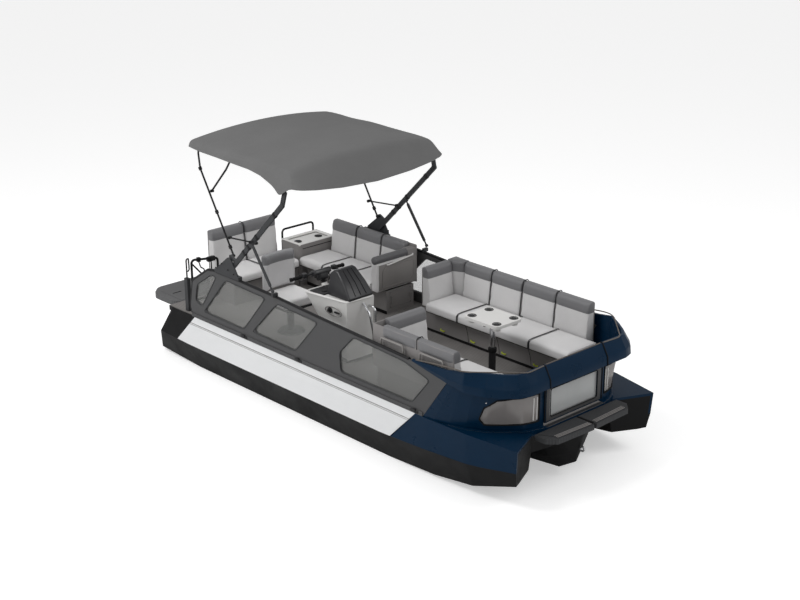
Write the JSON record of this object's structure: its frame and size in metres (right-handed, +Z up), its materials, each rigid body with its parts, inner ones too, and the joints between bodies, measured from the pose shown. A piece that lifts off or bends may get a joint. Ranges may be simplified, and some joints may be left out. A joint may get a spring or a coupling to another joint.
{
  "type": "pontoon boat",
  "caption": "Tri-hull pontoon boat with jet drive, wrap-round benches, helm console, swivel chair, table, gates and a folding sun top.",
  "frame": {"origin": "on the floor that the keels stand on, at the centre of the whole boat's box in plan", "axes": "+X to the bow, +Y to port, +Z up"},
  "size_m": [6.3593, 2.4204, 2.87],
  "materials": {
    "gelcoat_white": "gloss",
    "gelcoat_navy": "gloss",
    "hull_black": "satin",
    "deck_mat": "textured",
    "step_pad": "ribbed",
    "rail_black": "satin",
    "frame_grey": "satin",
    "jet_metal": "cast",
    "steel": "polished",
    "engine_mass": "cast",
    "tinted_pane": "clear",
    "seat_grey": "grained",
    "back_grey": "grained",
    "moulded_grey": "textured",
    "moulded_white": "satin",
    "moulded_dark": "textured",
    "canopy_cloth": "woven"
  },
  "bodies": {
    "hull": {"sponson_port": "hull_black", "sponson_starboard": "hull_black", "side_panel_port": "gelcoat_white", "side_panel_starboard": "gelcoat_white", "bow_cap_port": "gelcoat_navy", "bow_cap_starboard": "gelcoat_navy", "center_hull": "hull_black", "deck": "deck_mat", "front_step": "step_pad", "swim_platform": "step_pad", "engine_block": "engine_mass", "jet_pump": "jet_metal", "intake_grate": "jet_metal", "bow_eye": "steel", "fence_frame_port": "frame_grey", "fence_frame_starboard": "frame_grey", "fence_panes": "tinted_pane", "top_rails": "rail_black", "bow_fairing_port": "gelcoat_navy", "bow_fairing_starboard": "gelcoat_navy", "bow_windows": "tinted_pane", "stern_gate_post": "rail_black", "port_front_base": "moulded_grey", "port_front_backrest": "back_grey", "starboard_front_base": "moulded_grey", "starboard_front_backrest": "back_grey", "backrest_handles": "rail_black", "mid_port_base": "moulded_grey", "mid_port_backrest": "back_grey", "stern_base": "moulded_grey", "stern_backrest": "back_grey", "corner_console": "moulded_dark", "grab_rail": "rail_black", "helm_console": "moulded_white", "windshield": "moulded_dark", "helm_grab_rail": "steel", "chair_pedestal": "steel", "table_top": "moulded_white", "table_pedestal": "moulded_dark", "bimini_brackets": "frame_grey"},
    "impeller": {"impeller": "steel"},
    "jet_nozzle": {"jet_nozzle": "jet_metal"},
    "reverse_bucket": {"reverse_bucket": "jet_metal"},
    "bow_gate": {"bow_gate_panel": "gelcoat_navy", "bow_gate_window": "tinted_pane"},
    "stern_gate": {"stern_gate": "rail_black"},
    "port_front_lid": {"port_front_cushion": "seat_grey"},
    "starboard_front_lid": {"starboard_front_cushion": "seat_grey"},
    "mid_port_lid": {"mid_port_cushion": "seat_grey"},
    "stern_lid": {"stern_cushion": "seat_grey"},
    "storage_door": {"storage_door": "moulded_grey"},
    "handlebar": {"handlebar": "moulded_dark"},
    "captain_chair": {"captain_seat": "seat_grey", "captain_backrest": "back_grey"},
    "main_bow": {"main_bow": "frame_grey", "canopy": "canopy_cloth"},
    "rear_bow": {"rear_bow": "frame_grey"},
    "mid_bow": {"mid_bow": "frame_grey"},
    "front_struts": {"front_struts": "frame_grey"},
    "spreader_links": {"spreader_links": "frame_grey"}
  },
  "joints": [
    {"name": "bow_gate_swing", "type": "hinge", "parent": "hull", "child": "bow_gate", "pos_m": [2.838, 0.434, 0.9], "axis": [0, 0, -1], "range_deg": [0, 78]},
    {"name": "stern_gate_swing", "type": "hinge", "parent": "hull", "child": "stern_gate", "pos_m": [-2.22, -0.99, 1], "axis": [0, 0, 1], "range_deg": [0, 90]},
    {"name": "steering", "type": "hinge", "parent": "hull", "child": "handlebar", "pos_m": [-0.25, -0.6, 1.418], "axis": [-0.4226, 0, 0.9063], "range_deg": [-25, 25]},
    {"name": "nozzle_turn", "type": "hinge", "parent": "hull", "child": "jet_nozzle", "pos_m": [-2.99, 0, 0.265], "axis": [0, 0, 1], "range_deg": [-25, 25]},
    {"name": "bucket_tilt", "type": "hinge", "parent": "jet_nozzle", "child": "reverse_bucket", "pos_m": [-3.02, 0, 0.265], "axis": [0, -1, 0], "range_deg": [0, 75]},
    {"name": "impeller_spin", "type": "hinge", "parent": "hull", "child": "impeller", "pos_m": [-2.83, 0, 0.265], "axis": [1, 0, 0], "continuous": true},
    {"name": "chair_swivel", "type": "hinge", "parent": "hull", "child": "captain_chair", "pos_m": [-0.86, -0.6, 1], "axis": [0, 0, 1], "continuous": true},
    {"name": "port_front_lid_lift", "type": "hinge", "parent": "hull", "child": "port_front_lid", "pos_m": [1, 0.905, 1.082], "axis": [-1, 0, 0], "range_deg": [0, 75]},
    {"name": "starboard_front_lid_lift", "type": "hinge", "parent": "hull", "child": "starboard_front_lid", "pos_m": [1.8, -0.905, 1.082], "axis": [1, 0, 0], "range_deg": [0, 75]},
    {"name": "mid_port_lid_lift", "type": "hinge", "parent": "hull", "child": "mid_port_lid", "pos_m": [-1.3, 0.905, 1.082], "axis": [-1, 0, 0], "range_deg": [0, 75]},
    {"name": "stern_lid_lift", "type": "hinge", "parent": "hull", "child": "stern_lid", "pos_m": [-2.341, 0, 1.082], "axis": [0, -1, 0], "range_deg": [0, 75]},
    {"name": "storage_door_swing", "type": "hinge", "parent": "hull", "child": "storage_door", "pos_m": [-0.49269, 0.947, 0.835], "axis": [0, 0, 1], "range_deg": [0, 95]},
    {"name": "main_fold", "type": "hinge", "parent": "hull", "child": "main_bow", "pos_m": [-1.245, 0, 1.452], "axis": [0, -1, 0], "range_deg": [0, 100], "deforming": ["canopy"]},
    {"name": "rear_fold", "type": "hinge", "parent": "main_bow", "child": "rear_bow", "pos_m": [-1.24, 0, 1.605], "axis": [0, -1, 0], "range_deg": [-72, 0]},
    {"name": "mid_fold", "type": "hinge", "parent": "rear_bow", "child": "mid_bow", "pos_m": [-1.65031, 0, 2.26831], "axis": [0, -1, 0], "range_deg": [0, 67]},
    {"name": "strut_fold", "type": "hinge", "parent": "main_bow", "child": "front_struts", "pos_m": [-0.8082, 0, 1.88334], "axis": [0, -1, 0], "range_deg": [0, 93]},
    {"name": "link_fold", "type": "hinge", "parent": "rear_bow", "child": "spreader_links", "pos_m": [-1.35044, 0, 1.78354], "axis": [0, -1, 0], "range_deg": [0, 112]}
  ],
  "couplings": [
    {"joint": "nozzle_turn", "follows": "steering", "ratio": -1},
    {"joint": "rear_fold", "follows": "main_fold", "ratio": -0.72},
    {"joint": "mid_fold", "follows": "main_fold", "ratio": 0.67},
    {"joint": "strut_fold", "follows": "main_fold", "ratio": 0.93},
    {"joint": "link_fold", "follows": "main_fold", "ratio": 1.12}
  ]
}
